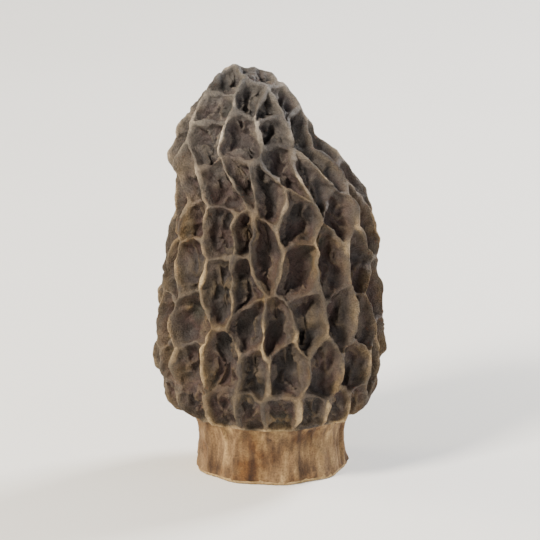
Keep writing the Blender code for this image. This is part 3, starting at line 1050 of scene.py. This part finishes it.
class StageSettings(bpy.types.PropertyGroup):
    """What a user may change about the stage."""

    elevation: FloatProperty(
        name="Camera Elevation",
        description="How far above the horizon the camera stands",
        default=math.radians(17.0),
        unit="ROTATION",
    )
    distance: FloatProperty(
        name="Camera Distance",
        description="How far the camera stands from the morel",
        default=0.8,
        unit="LENGTH",
    )
    world_colour: FloatVectorProperty(
        name="Background",
        description="The colour of the light from all round",
        default=(0.9, 0.92, 0.95),
        subtype="COLOR",
    )


class MOREL_OT_grow(bpy.types.Operator):
    """Grow the morel round its solid"""

    bl_idname = "morel.grow"
    bl_label = "Grow Morel"

    def execute(self, context):
        mesh = morel_mesh(context.scene.morel.wrinkles)
        morel = link("dried_morel", mesh)
        for material in (cap_skin(), stem_skin(), inner_flesh()):
            mesh.materials.append(material)
        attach(morel, "root")
        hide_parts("morel")
        return {"FINISHED"}


def area_light(name, place, size, watts, colour):
    """A square soft light that faces the middle of the stage."""
    data = bpy.data.lights.new(name, "AREA")
    data.shape = "SQUARE"
    data.size = size
    data.energy = watts
    data.color = linear(colour)[:3]
    lamp = bpy.data.objects.new(name, data)
    lamp.location = place
    lamp.rotation_euler = (STAGE_MIDDLE - Vector(place)).to_track_quat("-Z", "Y").to_euler()
    bpy.context.scene.collection.objects.link(lamp)


class MOREL_OT_stage(bpy.types.Operator):
    """Lay the floor and place the lights and the camera"""

    bl_idname = "morel.stage"
    bl_label = "Set Stage"

    def execute(self, context):
        stage = context.scene.morel_stage
        bm = bmesh.new()
        bmesh.ops.create_grid(bm, x_segments=1, y_segments=1, size=HALF_FLOOR)
        mesh = bpy.data.meshes.new("floor")
        bm.to_mesh(mesh)
        bm.free()
        floor = link("floor", mesh)
        mesh.materials.append(pale_floor())

        for light in LIGHTS:
            area_light(*light)

        world = bpy.data.worlds.new("soft_daylight")
        world.use_nodes = True
        background = world.node_tree.nodes["Background"]
        background.inputs["Color"].default_value = (*stage.world_colour, 1.0)
        background.inputs["Strength"].default_value = WORLD_STRENGTH
        context.scene.world = world

        lens = bpy.data.cameras.new("camera")
        lens.lens = LENS
        lens.clip_start, lens.clip_end = 0.01, 10.0
        camera = bpy.data.objects.new("camera", lens)
        away = Vector((0.0, -math.cos(stage.elevation), math.sin(stage.elevation)))
        camera.location = STAGE_MIDDLE + away * stage.distance
        camera.rotation_euler = (-away).to_track_quat("-Z", "Y").to_euler()
        context.scene.collection.objects.link(camera)
        context.scene.camera = camera
        return {"FINISHED"}


class MOREL_PT_panel(bpy.types.Panel):
    """The morel's settings and steps"""

    bl_label = "Dried Black Morel"
    bl_idname = "MOREL_PT_panel"
    bl_space_type = "VIEW_3D"
    bl_region_type = "UI"
    bl_category = "Morel"

    def draw(self, context):
        layout = self.layout
        layout.prop(context.scene.morel, "wrinkles")
        layout.operator(MOREL_OT_grow.bl_idname)
        for name in ("elevation", "distance", "world_colour"):
            layout.prop(context.scene.morel_stage, name)
        layout.operator(MOREL_OT_stage.bl_idname)


CLASSES = (MorelSettings, StageSettings, MOREL_OT_grow, MOREL_OT_stage, MOREL_PT_panel)


def register():
    for cls in CLASSES:
        bpy.utils.register_class(cls)
    bpy.types.Scene.morel = PointerProperty(type=MorelSettings)
    bpy.types.Scene.morel_stage = PointerProperty(type=StageSettings)


def unregister():
    del bpy.types.Scene.morel_stage
    del bpy.types.Scene.morel
    for cls in reversed(CLASSES):
        bpy.utils.unregister_class(cls)


def main():
    register()
    bpy.ops.morel.grow()
    bpy.ops.morel.stage()


if __name__ == "__main__":
    main()
